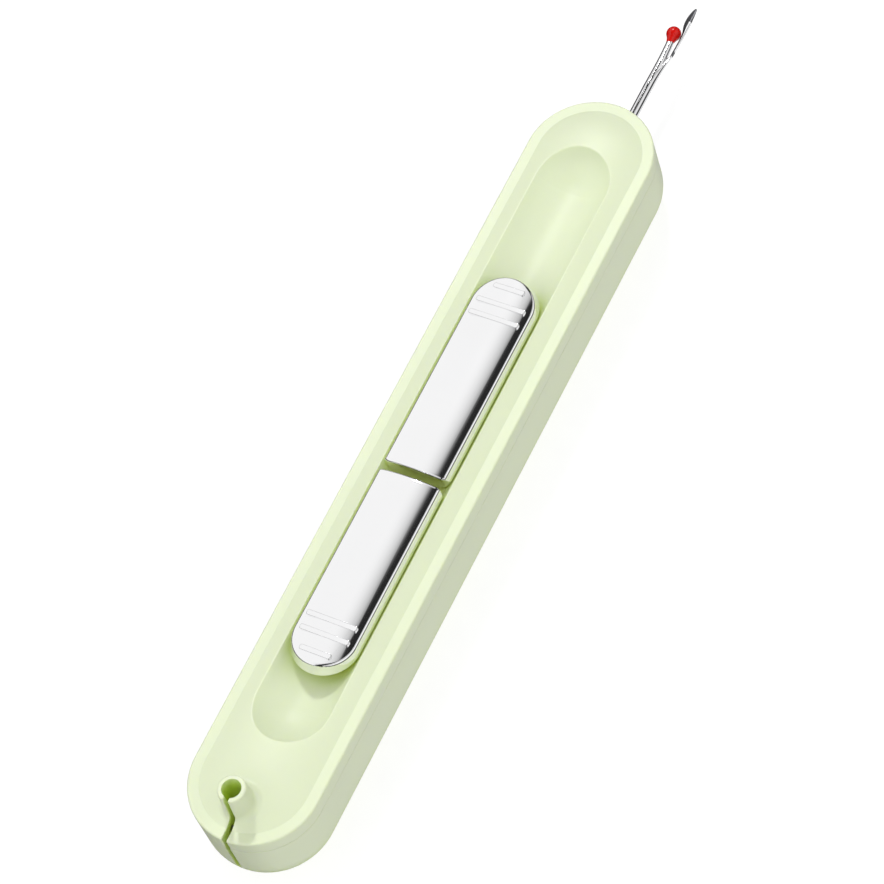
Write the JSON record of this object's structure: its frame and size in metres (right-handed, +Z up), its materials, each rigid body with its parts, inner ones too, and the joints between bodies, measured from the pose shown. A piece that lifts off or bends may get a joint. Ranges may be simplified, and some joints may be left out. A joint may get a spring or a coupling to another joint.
{
  "type": "needle threader",
  "caption": "Hand-held needle threader: long rounded body with a needle well and thread slit at one end, two thumb slides in a scooped channel, and a push-out seam ripper.",
  "frame": {"origin": "centre of the flat underside, midway along the body without the ripper", "axes": "+X along the body towards the seam ripper, +Y across it, +Z up, out of the thumb plates' side"},
  "size_m": [0.1685, 0.022, 0.022],
  "materials": {
    "green_shell": "pastel green ABS, satin",
    "chrome": "bright chrome plating",
    "inner_frame": "natural acetal",
    "inner_plastic": "white acetal",
    "screw_steel": "zinc plated",
    "rod_steel": "ground steel",
    "spring_steel": "spring steel",
    "blade_steel": "nickel plated steel",
    "red_ball": "glossy red"
  },
  "bodies": {
    "root": {"upper_shell": "green_shell", "lower_shell": "green_shell", "shell_screws": "screw_steel", "exit_bush": "chrome", "guide_plate": "inner_frame", "guide_plate_screws": "screw_steel", "ripper_slider_rod": "rod_steel", "ripper_slider_spring": "spring_steel", "threader_slider_rod": "rod_steel", "threader_slider_spring": "spring_steel", "needle_guide_block": "inner_plastic", "ripper_pull_spring": "spring_steel", "ripper_latch_leaf": "spring_steel", "latch_rivet": "rod_steel"},
    "ripper_slider": {"ripper_thumb_plate": "chrome", "ripper_driver": "inner_plastic", "ripper_plate_screws": "screw_steel"},
    "threader_slider": {"threader_thumb_plate": "chrome", "threader_driver": "inner_plastic", "threader_plate_screws": "screw_steel", "threader_hook": "blade_steel", "hook_pin": "rod_steel"},
    "ripper": {"ripper_carriage": "inner_plastic", "ripper_blade": "blade_steel", "ripper_ball": "red_ball", "ripper_clamp_screw": "screw_steel"}
  },
  "joints": [
    {"name": "ripper_slider_push", "type": "slide", "parent": "root", "child": "ripper_slider", "axis": [1, 0, 0], "range_m": [0, 0.025], "stiffness_N_per_m": 60, "springref_m": -0.012, "deforming": ["ripper_slider_spring"]},
    {"name": "threader_slider_push", "type": "slide", "parent": "root", "child": "threader_slider", "axis": [-1, 0, 0], "range_m": [0, 0.009], "stiffness_N_per_m": 90, "springref_m": -0.008, "deforming": ["threader_slider_spring"]},
    {"name": "ripper_extend", "type": "slide", "parent": "root", "child": "ripper", "axis": [1, 0, 0], "range_m": [-0.025, 0], "deforming": ["ripper_pull_spring", "ripper_latch_leaf"]}
  ]
}
